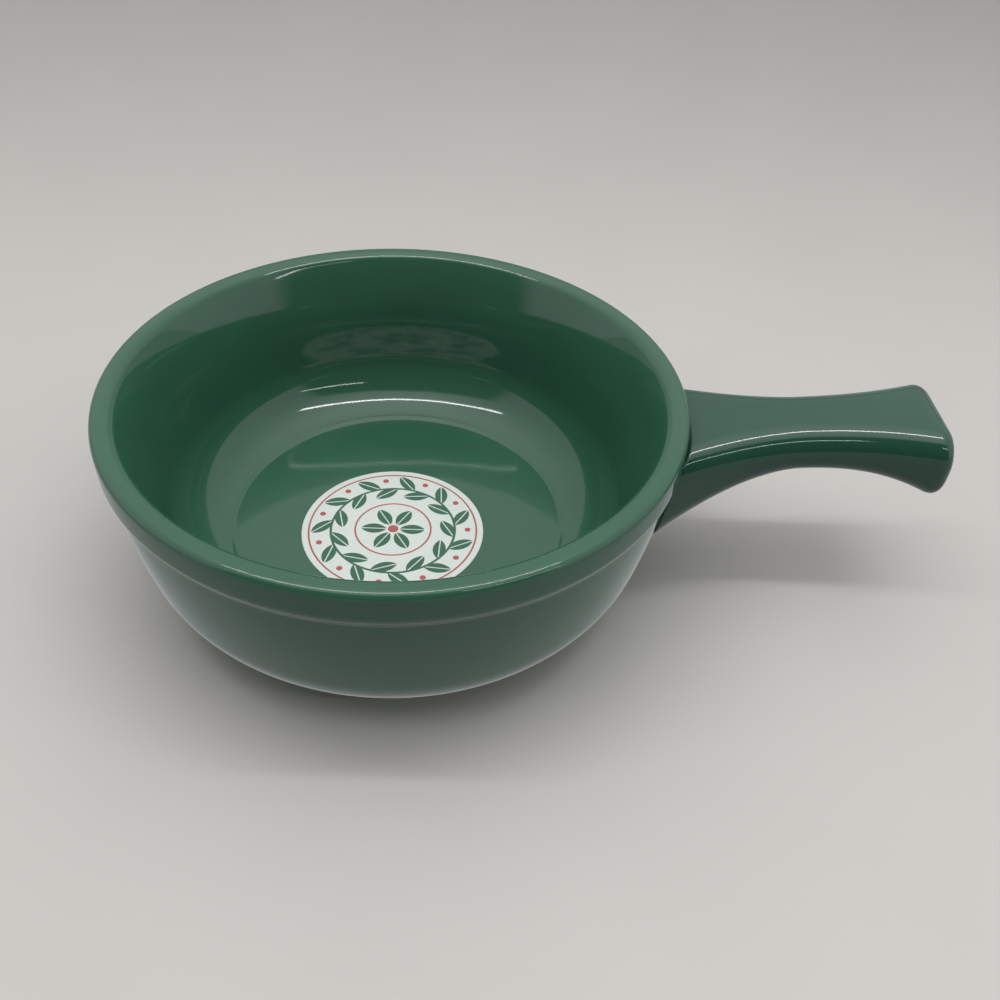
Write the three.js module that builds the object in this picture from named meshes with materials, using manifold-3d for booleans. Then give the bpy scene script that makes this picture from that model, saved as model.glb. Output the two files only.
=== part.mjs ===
// Handled soup bowl in glazed stoneware: a round bowl with a rim collar and a foot ring, a stick
// handle luted to its wall with slip, and a printed transfer fired on the flat of its floor.
// Millimetres, +Z up. The bowl rests on Z = 0 and the handle points along +X.
import * as THREE from "three";
import { mergeVertices } from "three/addons/utils/BufferGeometryUtils.js";
import Module from "manifold-3d";

// Heights of the bowl, stacked from the table up
const FOOT_RECESS = 3.6;
const FLOOR_THICKNESS = 6.6;
const INSIDE_DEPTH = 40.6;

// Rim and collar
const RIM_RADIUS = 66.5;
const RIM_WIDTH = 5.6;
const RIM_OUTER_ROUND = 1.7;
const RIM_INNER_ROUND = 2.8;
const COLLAR_HEIGHT = 10.3;
const COLLAR_PROUD = 1.6;
const COLLAR_LOWER_ROUND = 4.5;

// Outside of the wall: it leans in slowly, then turns under in a round heel to the foot ring
const WALL_LEAN_AT_COLLAR = THREE.MathUtils.degToRad(5.5);
const WALL_LEAN_AT_HEEL = THREE.MathUtils.degToRad(12.7);
const HEEL_RADIUS = 20.6;
const HEEL_CLEAR_OF_TABLE = 2.7;
const FOOT_RADIUS = 44;
const FOOT_WIDTH = 5;
const FOOT_EDGE_ROUND = 0.8;

// Inside of the bowl: a flat floor with a low step at its edge, a round hollow up to the neck, where
// the wall is steepest, and a flare from there to the lip
const FLOOR_RADIUS = 40.7;
const FLOOR_STEP_HEIGHT = 0.5;
const FLOOR_STEP_RUN = 1.1;
const HOLLOW_START_SLOPE = THREE.MathUtils.degToRad(11);
const NECK_BELOW_RIM = 19.8;
const NECK_LEAN = THREE.MathUtils.degToRad(7);
const LIP_LEAN = THREE.MathUtils.degToRad(29);

// Handle: heights are measured down from the rim, lengths out from the rim's edge
const HANDLE_LENGTH = 60.6;
const HANDLE_WAIST_OUT = 27.5;
const HANDLE_ROOT_WIDTH = 32.6;
const HANDLE_WAIST_WIDTH = 20.4;
const HANDLE_TIP_WIDTH = 30.8;
const HANDLE_ROOT_TOP_DROP = 6.1;
const HANDLE_WAIST_TOP_DROP = 3.2;
const HANDLE_TIP_TOP_DROP = 0.6;
const HANDLE_ROOT_DEPTH = 20.6;
const HANDLE_WAIST_DEPTH = 11;
const HANDLE_TIP_DEPTH = 17.9;
const HANDLE_TOP_ROUND = 6.4;
const HANDLE_ROOT_BELOW_ROUND = 6.4;
const HANDLE_BELOW_ROUND = 4.2;
const HANDLE_TIP_ROUND = 4.4;
const HANDLE_ROOT_WIDTH_FLARE = 1.7;
const HANDLE_TIP_WIDTH_FLARE = 2.2;
const HANDLE_ROOT_DEPTH_FLARE = 1.75;
const HANDLE_TIP_DEPTH_FLARE = 2.6;

// Slip that joins the handle to the wall: a thin pad set back from the handle's edge
const SLIP_THICKNESS = 0.8;
const SLIP_SETBACK = 1;
const JOINT_GAP = 0.3;

// Printed transfer on the floor
const TRANSFER_RADIUS = 22.5;
const TRANSFER_THICKNESS = 0.3;
const TRANSFER_OFFSET_X = -1.3;
const TRANSFER_OFFSET_Y = -5;

// Smoothness of the round surfaces
const TURN_STEPS = 72;
const HOLLOW_STEPS = 8;
const FLARE_STEPS = 4;
const HEEL_STEPS = 8;
const WALL_STEPS = 4;
const EDGE_STEPS = 4;
const HANDLE_STATIONS = 18;
const CORNER_STEPS = 5;
const TIP_STEPS = 5;
const TRANSFER_STEPS = 48;

// Colours and gloss of the fired surfaces
const GREEN_GLAZE = 0x2f6a4f;
const JOINT_GLAZE = 0x28593f;
const TRANSFER_WHITE = 0xdfe3e1;
const GLAZE_ROUGHNESS = 0.12;
const JOINT_ROUGHNESS = 0.2;
const TRANSFER_ROUGHNESS = 0.18;

// Heights that follow from the sizes above
const underside = FOOT_RECESS;
const floorTop = underside + FLOOR_THICKNESS;
const rimTop = floorTop + INSIDE_DEPTH;
const ledge = rimTop - COLLAR_HEIGHT;
const rimInnerRadius = RIM_RADIUS - RIM_WIDTH;
const footInnerRadius = FOOT_RADIUS - FOOT_WIDTH;

// Centres of the outside wall's two arcs: the heel is level at its lowest point, and both share
// one tangent where they meet
const heelCentreHeight = HEEL_CLEAR_OF_TABLE + HEEL_RADIUS;
const heelTop = heelCentreHeight - HEEL_RADIUS * Math.sin(WALL_LEAN_AT_HEEL);
const wallRadius = (ledge - heelTop) / (Math.sin(WALL_LEAN_AT_HEEL) - Math.sin(WALL_LEAN_AT_COLLAR));
const wallCentreHeight = ledge + wallRadius * Math.sin(WALL_LEAN_AT_COLLAR);
const wallCentreRadius = RIM_RADIUS - COLLAR_PROUD - wallRadius * Math.cos(WALL_LEAN_AT_COLLAR);
const heelCentreRadius = wallCentreRadius + (wallRadius - HEEL_RADIUS) * Math.cos(WALL_LEAN_AT_HEEL);

const wasm = await Module();
wasm.setup();

// Points of an arc in the profile plane, as radius and height; angles are from level outwards.
function arc(centreRadius, centreHeight, radius, from, to, steps) {
  return Array.from({ length: steps + 1 }, (_, i) => {
    const angle = THREE.MathUtils.lerp(from, to, i / steps);
    return new THREE.Vector2(
      centreRadius + radius * Math.cos(angle),
      centreHeight + radius * Math.sin(angle),
    );
  });
}

// Outside of the bowl from the rim's top down to the foot, moved outwards by an offset. The collar's
// lower round stops where it meets the wall, or else a flat ledge joins the two.
function outsideProfile(offset) {
  const collarCentreRadius = RIM_RADIUS - COLLAR_LOWER_ROUND;
  const collarCentreHeight = ledge + COLLAR_LOWER_ROUND;
  const collarRound = COLLAR_LOWER_ROUND + offset;
  const wallInside = RIM_RADIUS - COLLAR_PROUD + offset - collarCentreRadius;
  const collarEnd = -Math.acos(THREE.MathUtils.clamp(wallInside / collarRound, 0, 1));
  const wallReach = wallRadius + offset;
  const wallTopHeight = collarCentreHeight + collarRound * Math.sin(collarEnd);
  const wallStart = Math.asin((wallTopHeight - wallCentreHeight) / wallReach);
  const heelReach = HEEL_RADIUS + offset;
  const footInside = FOOT_RADIUS + offset - heelCentreRadius;
  const heelEnd = -Math.acos(THREE.MathUtils.clamp(footInside / heelReach, 0, 1));
  return [
    ...arc(
      RIM_RADIUS - RIM_OUTER_ROUND, rimTop - RIM_OUTER_ROUND, RIM_OUTER_ROUND + offset,
      Math.PI / 2, 0, EDGE_STEPS,
    ),
    ...arc(collarCentreRadius, collarCentreHeight, collarRound, 0, collarEnd, EDGE_STEPS),
    ...arc(wallCentreRadius, wallCentreHeight, wallReach, wallStart, -WALL_LEAN_AT_HEEL, WALL_STEPS),
    ...arc(heelCentreRadius, heelCentreHeight, heelReach, -WALL_LEAN_AT_HEEL, heelEnd, HEEL_STEPS)
      .slice(1),
  ];
}

// Foot ring: a flat bearing face with rounded edges around the recess under the floor.
function footProfile() {
  const outerCentre = FOOT_RADIUS - FOOT_EDGE_ROUND;
  const innerCentre = footInnerRadius + FOOT_EDGE_ROUND;
  return [
    ...arc(outerCentre, FOOT_EDGE_ROUND, FOOT_EDGE_ROUND, 0, -Math.PI / 2, EDGE_STEPS),
    ...arc(innerCentre, FOOT_EDGE_ROUND, FOOT_EDGE_ROUND, -Math.PI / 2, -Math.PI, EDGE_STEPS),
    new THREE.Vector2(footInnerRadius, underside),
    new THREE.Vector2(0, underside),
  ];
}

// Inside of the bowl from the middle of the floor up to the rim. The flare's radius is the one that
// touches the rim's round at the lip, and the hollow's is the one that touches the wall at the neck.
function insideProfile() {
  const step = new THREE.Vector2(FLOOR_RADIUS + FLOOR_STEP_RUN, floorTop + FLOOR_STEP_HEIGHT);
  const rim = new THREE.Vector2(rimInnerRadius + RIM_INNER_ROUND, rimTop - RIM_INNER_ROUND);
  const lip = new THREE.Vector2(
    rim.x - RIM_INNER_ROUND * Math.cos(LIP_LEAN),
    rim.y + RIM_INNER_ROUND * Math.sin(LIP_LEAN),
  );
  const neckHeight = rimTop - NECK_BELOW_RIM;
  const flareRadius = (lip.y - neckHeight) / (Math.sin(LIP_LEAN) - Math.sin(NECK_LEAN));
  const flareCentreRadius = lip.x + flareRadius * Math.cos(LIP_LEAN);
  const flareCentreHeight = neckHeight - flareRadius * Math.sin(NECK_LEAN);
  const neckRadius = flareCentreRadius - flareRadius * Math.cos(NECK_LEAN);
  const lean = Math.tan(NECK_LEAN);
  const runAcross = Math.cos(NECK_LEAN) - Math.sin(HOLLOW_START_SLOPE);
  const runUp = Math.cos(HOLLOW_START_SLOPE) - Math.sin(NECK_LEAN);
  const wallFootRadius = neckRadius - (neckHeight - step.y) * lean;
  const hollowRadius = (wallFootRadius - step.x) / (runAcross - runUp * lean);
  return [
    new THREE.Vector2(0, floorTop),
    new THREE.Vector2(FLOOR_RADIUS, floorTop),
    ...arc(
      step.x - hollowRadius * Math.sin(HOLLOW_START_SLOPE),
      step.y + hollowRadius * Math.cos(HOLLOW_START_SLOPE),
      hollowRadius, HOLLOW_START_SLOPE - Math.PI / 2, -NECK_LEAN, HOLLOW_STEPS,
    ),
    ...arc(
      flareCentreRadius, flareCentreHeight, flareRadius,
      Math.PI - NECK_LEAN, Math.PI - LIP_LEAN, FLARE_STEPS,
    ),
    ...arc(rim.x, rim.y, RIM_INNER_ROUND, Math.PI - LIP_LEAN, Math.PI / 2, EDGE_STEPS).slice(1),
  ];
}

// A profile that runs down the outside, turned about the bowl's axis with its faces outwards.
function turned(profile) {
  return new THREE.LatheGeometry(profile.toReversed(), TURN_STEPS).rotateX(Math.PI / 2);
}

// A smooth waist along the handle: one value at the root, one at the waist and one at the tip.
function waisted(station, root, waist, tip, rootFlare, tipFlare) {
  if (station < HANDLE_WAIST_OUT) {
    return waist + (root - waist) * (1 - station / HANDLE_WAIST_OUT) ** rootFlare;
  }
  const along = (station - HANDLE_WAIST_OUT) / (HANDLE_LENGTH - HANDLE_WAIST_OUT);
  return waist + (tip - waist) * along ** tipFlare;
}

// The handle's top line, a parabola through its three heights.
function topDrop(station) {
  const rootToWaist = (HANDLE_WAIST_TOP_DROP - HANDLE_ROOT_TOP_DROP) / HANDLE_WAIST_OUT;
  const waistToTip = (HANDLE_TIP_TOP_DROP - HANDLE_WAIST_TOP_DROP) / (HANDLE_LENGTH - HANDLE_WAIST_OUT);
  const bend = (waistToTip - rootToWaist) / HANDLE_LENGTH;
  return HANDLE_ROOT_TOP_DROP + station * (rootToWaist + bend * (station - HANDLE_WAIST_OUT));
}

// One cross-section of the handle, a rounded rectangle drawn in by an inset, as a ring of points.
function handleSection(station, inset) {
  const halfWidth = waisted(
    station, HANDLE_ROOT_WIDTH, HANDLE_WAIST_WIDTH, HANDLE_TIP_WIDTH,
    HANDLE_ROOT_WIDTH_FLARE, HANDLE_TIP_WIDTH_FLARE,
  ) / 2 - inset;
  const depth = waisted(
    station, HANDLE_ROOT_DEPTH, HANDLE_WAIST_DEPTH, HANDLE_TIP_DEPTH,
    HANDLE_ROOT_DEPTH_FLARE, HANDLE_TIP_DEPTH_FLARE,
  );
  const wantedBelow = waisted(
    station, HANDLE_ROOT_BELOW_ROUND, HANDLE_BELOW_ROUND, HANDLE_BELOW_ROUND,
    HANDLE_ROOT_DEPTH_FLARE, HANDLE_TIP_DEPTH_FLARE,
  );
  const top = rimTop - topDrop(station) - inset;
  const bottom = top - depth + 2 * inset;
  const topShare = HANDLE_TOP_ROUND / (HANDLE_TOP_ROUND + wantedBelow);
  const topRound = Math.min(HANDLE_TOP_ROUND, halfWidth, (top - bottom) * topShare);
  const belowRound = Math.min(wantedBelow, halfWidth, (top - bottom) * (1 - topShare));
  const corners = [
    { side: 1, height: top - topRound, round: topRound, from: 0 },
    { side: -1, height: top - topRound, round: topRound, from: Math.PI / 2 },
    { side: -1, height: bottom + belowRound, round: belowRound, from: Math.PI },
    { side: 1, height: bottom + belowRound, round: belowRound, from: 1.5 * Math.PI },
  ];
  return corners.flatMap(({ side, height, round, from }) =>
    arc(side * (halfWidth - round), height, round, from, from + Math.PI / 2, CORNER_STEPS)
      .map((point) => new THREE.Vector3(RIM_RADIUS + station, point.x, point.y)),
  );
}

// A closed skin over rings of equal length, with a fan over each end.
function skinned(rings) {
  const count = rings[0].length;
  const points = rings.flat();
  const triangles = [];
  for (let ring = 0; ring + 1 < rings.length; ring++) {
    for (let i = 0; i < count; i++) {
      const here = ring * count + i;
      const next = ring * count + ((i + 1) % count);
      triangles.push(here, next, here + count, next, next + count, here + count);
    }
  }
  const ends = [rings[0], rings[rings.length - 1]];
  ends.forEach((ring, end) => {
    const middle = points.length;
    const first = end * (rings.length - 1) * count;
    const sum = ring.reduce((total, point) => total.add(point), new THREE.Vector3());
    points.push(sum.divideScalar(count));
    for (let i = 0; i < count; i++) {
      const pair = [first + i, first + ((i + 1) % count)];
      triangles.push(middle, ...(end === 0 ? pair.reverse() : pair));
    }
  });
  return new THREE.BufferGeometry().setFromPoints(points).setIndex(triangles);
}

// The handle from inside the bowl's wall to its tip, before its root is cut to the wall.
function handleBlank(inset) {
  const rootStation = -(RIM_RADIUS - heelCentreRadius) / 2;
  const shoulder = HANDLE_LENGTH - HANDLE_TIP_ROUND;
  const rings = [];
  for (let i = 0; i < HANDLE_STATIONS; i++) {
    rings.push(handleSection(THREE.MathUtils.lerp(rootStation, shoulder, i / HANDLE_STATIONS), inset));
  }
  for (let i = 0; i <= TIP_STEPS; i++) {
    const angle = (i / TIP_STEPS) * (Math.PI / 2);
    const tipInset = HANDLE_TIP_ROUND * (1 - Math.cos(angle));
    rings.push(handleSection(shoulder + HANDLE_TIP_ROUND * Math.sin(angle), inset + tipInset));
  }
  return skinned(rings);
}

// The room that the bowl takes up with its hollow filled, grown by an offset.
function bowlRoom(offset) {
  return turned([
    new THREE.Vector2(0, rimTop + offset),
    ...outsideProfile(offset),
    new THREE.Vector2(0, underside - offset),
  ]);
}

// A geometry as a solid that can be joined and cut.
function solid(geometry) {
  const bare = geometry.clone();
  bare.deleteAttribute("normal");
  bare.deleteAttribute("uv");
  const merged = mergeVertices(bare);
  return new wasm.Manifold(new wasm.Mesh({
    numProp: 3,
    vertProperties: merged.attributes.position.array,
    triVerts: new Uint32Array(merged.index.array),
  }));
}

// A solid as a geometry with flat-shaded normals.
function geometryOf(body) {
  const mesh = body.getMesh();
  const geometry = new THREE.BufferGeometry()
    .setAttribute("position", new THREE.BufferAttribute(mesh.vertProperties, 3))
    .setIndex(new THREE.BufferAttribute(mesh.triVerts, 1))
    .toNonIndexed();
  geometry.computeVertexNormals();
  return geometry;
}

// One named piece with its fired finish.
function piece(name, geometry, color, roughness) {
  const material = new THREE.MeshStandardMaterial({ color, roughness, metalness: 0 });
  const mesh = new THREE.Mesh(geometry, material);
  mesh.name = name;
  return mesh;
}

const bowlBody = piece(
  "bowl_body",
  turned([...insideProfile(), ...outsideProfile(0), ...footProfile()]),
  GREEN_GLAZE, GLAZE_ROUGHNESS,
);

const slipFace = JOINT_GAP;
const slipBack = slipFace + SLIP_THICKNESS;
const handleFace = slipBack + JOINT_GAP;

const handle = piece(
  "handle",
  geometryOf(solid(handleBlank(0)).subtract(solid(bowlRoom(handleFace)))),
  GREEN_GLAZE, GLAZE_ROUGHNESS,
);

const handleSlipJoint = piece(
  "handle_slip_joint",
  geometryOf(
    solid(handleBlank(SLIP_SETBACK))
      .intersect(solid(bowlRoom(slipBack)))
      .subtract(solid(bowlRoom(slipFace))),
  ),
  JOINT_GLAZE, JOINT_ROUGHNESS,
);

const floorTransfer = piece(
  "floor_transfer",
  new THREE.CylinderGeometry(TRANSFER_RADIUS, TRANSFER_RADIUS, TRANSFER_THICKNESS, TRANSFER_STEPS)
    .rotateX(Math.PI / 2),
  TRANSFER_WHITE, TRANSFER_ROUGHNESS,
);
floorTransfer.position.set(TRANSFER_OFFSET_X, TRANSFER_OFFSET_Y, floorTop + TRANSFER_THICKNESS / 2);

// The origin is under the middle of the whole length, from the bowl's back to the handle's tip
const soupBowl = new THREE.Group();
soupBowl.position.x = -HANDLE_LENGTH / 2;
soupBowl.add(bowlBody, handle, handleSlipJoint, floorTransfer);
const root = new THREE.Group();
root.add(soupBowl);

export default root;
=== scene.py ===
"""Handled soup bowl in green glazed stoneware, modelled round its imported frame.

Laid out as an add-on: property groups hold the sizes and colours, each piece has an operator, and one
panel lists them. Metres, +Z up; the bowl stands on Z = 0 and the handle points along +X.
"""

import math

import bmesh
import bpy
from mathutils import Matrix, Vector
from mathutils.geometry import intersect_sphere_sphere_2d


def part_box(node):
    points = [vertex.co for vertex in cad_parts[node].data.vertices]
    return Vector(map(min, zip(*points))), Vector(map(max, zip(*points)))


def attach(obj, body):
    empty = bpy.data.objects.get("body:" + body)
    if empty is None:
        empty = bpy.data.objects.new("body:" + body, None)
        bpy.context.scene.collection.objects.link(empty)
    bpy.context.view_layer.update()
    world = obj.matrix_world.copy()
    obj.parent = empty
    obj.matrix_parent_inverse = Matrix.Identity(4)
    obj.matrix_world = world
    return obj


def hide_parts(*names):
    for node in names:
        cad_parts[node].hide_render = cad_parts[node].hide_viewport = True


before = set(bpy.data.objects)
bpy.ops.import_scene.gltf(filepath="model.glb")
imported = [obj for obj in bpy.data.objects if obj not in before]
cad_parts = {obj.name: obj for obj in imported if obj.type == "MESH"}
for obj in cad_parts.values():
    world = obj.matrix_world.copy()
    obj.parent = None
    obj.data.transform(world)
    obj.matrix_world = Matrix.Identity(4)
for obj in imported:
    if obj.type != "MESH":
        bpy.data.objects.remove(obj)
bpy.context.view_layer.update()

bl_info = {
    "name": "Handled Soup Bowl",
    "version": (1, 0, 0),
    "blender": (4, 5, 0),
    "location": "View3D > Sidebar > Soup Bowl",
    "description": "Models a glazed stoneware soup bowl with a stick handle, and its studio",
    "category": "Add Mesh",
}

MM = 0.001
BODY = "root"

# Places that the frame fixes
BOWL_LOW, BOWL_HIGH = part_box("bowl_body")
HANDLE_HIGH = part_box("handle")[1]
TRANSFER_LOW, TRANSFER_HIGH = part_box("floor_transfer")
AXIS_X = (BOWL_LOW.x + BOWL_HIGH.x) / 2
RIM_RADIUS = (BOWL_HIGH.x - BOWL_LOW.x) / 2
RIM_TOP = BOWL_HIGH.z
RIM_EDGE_X = AXIS_X + RIM_RADIUS
FLOOR_TOP = TRANSFER_LOW.z
TRANSFER_CENTRE = (TRANSFER_LOW + TRANSFER_HIGH) / 2
TRANSFER_RADIUS = (TRANSFER_HIGH.x - TRANSFER_LOW.x) / 2
HANDLE_LENGTH = HANDLE_HIGH.x - RIM_EDGE_X

# Fineness of the meshes
TURN_STEPS = 240
ROUND_STEPS = 10
SMALL_ROUND_STEPS = 5
WALL_STEPS = 12
HOLLOW_STEPS = 28
FLARE_STEPS = 12
HEEL_STEPS = 20
CORNERS = 4
CORNER_STEPS = 10
FLAT_STEPS = 8
HANDLE_STATIONS = 46
LEAF_STEPS = 12
DOT_STEPS = 48
DISC_STEPS = 160
PAPER_STEPS = 40
SMOOTH_ANGLE = math.radians(38)
MERGE_DISTANCE = 0.004 * MM

# Refraction of the fired surfaces
GLAZE_IOR = 1.52
PRINT_IOR = 1.5


def linear(code):
    """An sRGB colour, written as six hex digits, as linear red, green, blue and alpha."""
    channels = [int(code[place:place + 2], 16) / 255 for place in (0, 2, 4)]
    bent = [c / 12.92 if c <= 0.04045 else ((c + 0.055) / 1.055) ** 2.4 for c in channels]
    return (*bent, 1.0)


def length(name, description, default):
    """A length property, in metres."""
    return bpy.props.FloatProperty(
        name=name, description=description, default=default, unit="LENGTH", precision=5
    )


def angle(name, description, degrees):
    """An angle property."""
    return bpy.props.FloatProperty(
        name=name, description=description, default=math.radians(degrees), subtype="ANGLE"
    )


def amount(name, description, default):
    """A plain number property."""
    return bpy.props.FloatProperty(
        name=name, description=description, default=default, precision=3
    )


def colour(name, description, code):
    """A colour property from an sRGB hex value."""
    return bpy.props.FloatVectorProperty(
        name=name, description=description, default=linear(code), size=4, subtype="COLOR",
        min=0.0, max=1.0,
    )


class BowlSizes(bpy.types.PropertyGroup):
    """Sizes of the turned bowl"""

    rim_width: length("Rim width", "Thickness of the rim across its top", 5.6 * MM)
    rim_outer_round: length("Rim outer round", "Radius of the rim's outer edge", 1.7 * MM)
    rim_inner_round: length("Rim inner round", "Radius of the rim's inner edge", 2.8 * MM)
    collar_height: length("Collar height", "From the rim's top to the collar's lower edge", 10.3 * MM)
    collar_proud: length("Collar proud", "How far the collar stands out from the wall", 1.6 * MM)
    collar_round: length("Collar round", "Radius of the collar's lower edge", 4.5 * MM)
    collar_hollow: length("Collar hollow", "Radius of the hollow under the collar", 2.0 * MM)
    lean_at_collar: angle("Lean at collar", "Lean of the outside wall under the collar", 5.5)
    lean_at_heel: angle("Lean at heel", "Lean of the outside wall above the heel", 12.7)
    heel_radius: length("Heel radius", "Radius of the round heel", 20.6 * MM)
    heel_clear: length("Heel clearance", "Lowest point of the heel's circle over the table", 2.7 * MM)
    foot_radius: length("Foot radius", "Outer radius of the foot ring", 44.0 * MM)
    foot_width: length("Foot width", "Width of the foot ring", 5.0 * MM)
    foot_round: length("Foot round", "Radius of the foot ring's edges", 0.8 * MM)
    foot_recess: length("Foot recess", "Height of the recess inside the foot ring", 3.6 * MM)
    foot_fillet: length("Foot fillet", "Round where the foot meets the heel and the recess", 0.9 * MM)
    floor_radius: length("Floor radius", "Radius of the flat floor", 40.7 * MM)
    step_height: length("Step height", "Height of the low step round the floor", 0.5 * MM)
    step_run: length("Step run", "Width of the low step round the floor", 1.1 * MM)
    step_round: length("Step round", "Softness of the step's two edges", 0.3 * MM)
    hollow_slope: angle("Hollow slope", "Slope of the hollow where it leaves the step", 11.0)
    neck_height: length("Neck height", "Where the inner wall starts to flare, over the table", 31.0 * MM)
    neck_lean: angle("Neck lean", "Lean of the inner wall where it is steepest", 7.0)
    lip_lean: angle("Lip lean", "Lean of the inner wall where it meets the rim", 29.0)


class HandleSizes(bpy.types.PropertyGroup):
    """Sizes of the stick handle: heights go down from the rim, lengths out from its edge"""

    waist_out: length("Waist out", "How far out the waist is", 27.5 * MM)
    root_width: length("Root width", "Width at the rim's edge", 32.6 * MM)
    waist_width: length("Waist width", "Width at the waist", 20.4 * MM)
    tip_width: length("Tip width", "Width at the tip", 30.8 * MM)
    root_drop: length("Root drop", "Depth of the top below the rim, at the root", 6.1 * MM)
    waist_drop: length("Waist drop", "Depth of the top below the rim, at the waist", 3.2 * MM)
    tip_drop: length("Tip drop", "Depth of the top below the rim, at the tip", 0.6 * MM)
    root_depth: length("Root depth", "Thickness at the rim's edge", 20.6 * MM)
    waist_depth: length("Waist depth", "Thickness at the waist", 11.0 * MM)
    tip_depth: length("Tip depth", "Thickness at the tip", 17.9 * MM)
    top_round: length("Top round", "Radius of the two upper edges", 6.4 * MM)
    root_below_round: length("Root lower round", "Radius of the two lower edges at the root", 6.4 * MM)
    below_round: length("Lower round", "Radius of the two lower edges from the waist on", 4.2 * MM)
    tip_round: length("Tip round", "Radius of the edges round the tip", 4.4 * MM)
    root_round: length("Root round", "Radius of the edge round the root", 0.9 * MM)
    joint: length("Joint", "Thickness of the joint between the wall and the root", 0.6 * MM)
    slip_setback: length("Slip setback", "How far the slip lies inside the root's outline", 0.4 * MM)
    slip_hollow: length("Slip hollow", "How far the slip's face dips between the two", 0.2 * MM)
    slip_overlap: length("Slip overlap", "How far the slip bites into the wall and the root", 0.1 * MM)
    root_width_flare: amount("Root width flare", "Power of the width's curve towards the root", 1.7)
    tip_width_flare: amount("Tip width flare", "Power of the width's curve towards the tip", 2.2)
    root_depth_flare: amount("Root depth flare", "Power of the depth's curve towards the root", 1.75)
    tip_depth_flare: amount("Tip depth flare", "Power of the depth's curve towards the tip", 2.6)


class TransferSizes(bpy.types.PropertyGroup):
    """Sizes of the printed transfer and its garland"""

    film: length("Film", "Thickness of the white ground", 0.08 * MM)
    ink: length("Ink", "Thickness of the colours on the ground", 0.02 * MM)
    outer_line: length("Outer line", "Radius of the outer line", 20.8 * MM)
    vine: length("Vine", "Radius of the garland's vine", 15.4 * MM)
    inner_line: length("Inner line", "Radius of the inner line", 9.4 * MM)
    line_width: length("Line width", "Width of the two thin lines", 0.45 * MM)
    vine_width: length("Vine width", "Width of the vine", 0.6 * MM)
    leaf_length: length("Leaf length", "Length of a garland leaf", 6.6 * MM)
    leaf_width: length("Leaf width", "Width of a garland leaf", 3.2 * MM)
    leaf_vein: length("Leaf vein", "Bare line down the middle of a leaf", 0.3 * MM)
    leaf_tilt: angle("Leaf tilt", "Turn of a garland leaf away from the vine", 38.0)
    leaf_stagger: amount("Leaf stagger", "Share of a step from a pair's place to a leaf", 0.25)
    leaf_pairs: bpy.props.IntProperty(
        name="Leaf pairs", description="Pairs of leaves round the garland", default=11
    )
    petal_start: length("Petal start", "Where a petal starts, from the rosette's middle", 1.69 * MM)
    petal_length: length("Petal length", "Length of a petal of the middle rosette", 6.2 * MM)
    petal_width: length("Petal width", "Width of a petal of the middle rosette", 3.4 * MM)
    petals: bpy.props.IntProperty(
        name="Petals", description="Petals of the middle rosette", default=6
    )
    berry: length("Berry", "Radius of a garland berry", 0.75 * MM)
    berry_shift: amount("Berry shift", "Share of a step from a pair's place to its berry", 0.06)
    heart: length("Heart", "Radius of the rosette's middle", 1.3 * MM)


class FinishColours(bpy.types.PropertyGroup):
    """Colours and gloss of the fired surfaces"""

    glaze: colour("Glaze", "Green glaze where it lies even", "33604b")
    glaze_thick: colour("Thick glaze", "Green glaze where it ran thicker", "2d5642")
    # Painted shade: both handle glaze colours are darker than the bowl's because the handle takes less
    # of the overhead light, not because its glaze differs. The cloudy mix between the two is the glaze's
    # own
    handle_shaded_glaze: colour("Handle glaze", "Green glaze on the handle, where it drained last", "224e3d")
    handle_shaded_thick_glaze: colour("Thick handle glaze", "The handle's glaze where it ran thicker", "1f4637")
    glaze_pit: colour("Glaze pit", "Dark of a pinhole in the glaze", "1d3a2c")
    joint_glaze: colour("Joint glaze", "Green glaze in the handle's joint", "2a4d3d")
    joint_glaze_thick: colour("Thick joint glaze", "The joint's glaze where it pooled", "244537")
    clay: colour("Clay", "Bare fired clay on the foot ring", "b7a88f")
    clay_grain: colour("Clay grain", "Darker grain in the bare clay", "97866c")
    print_white: colour("Print white", "White ground of the transfer", "d6dcd8")
    print_white_thin: colour("Thin print white", "White ground where it is thin", "c6d0ca")
    print_green: colour("Print green", "Green of the garland", "275c44")
    print_green_thin: colour("Thin print green", "Green of the garland where it is thin", "2f644c")
    print_red: colour("Print red", "Red of the lines and berries", "a54f49")
    print_red_thin: colour("Thin print red", "Red of the lines where it is thin", "ab5953")
    glaze_roughness: amount("Glaze roughness", "Roughness of the fired glaze", 0.07)
    print_roughness: amount("Print roughness", "Roughness of the fired print", 0.14)
    clay_roughness: amount("Clay roughness", "Roughness of the bare clay", 0.85)


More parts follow.
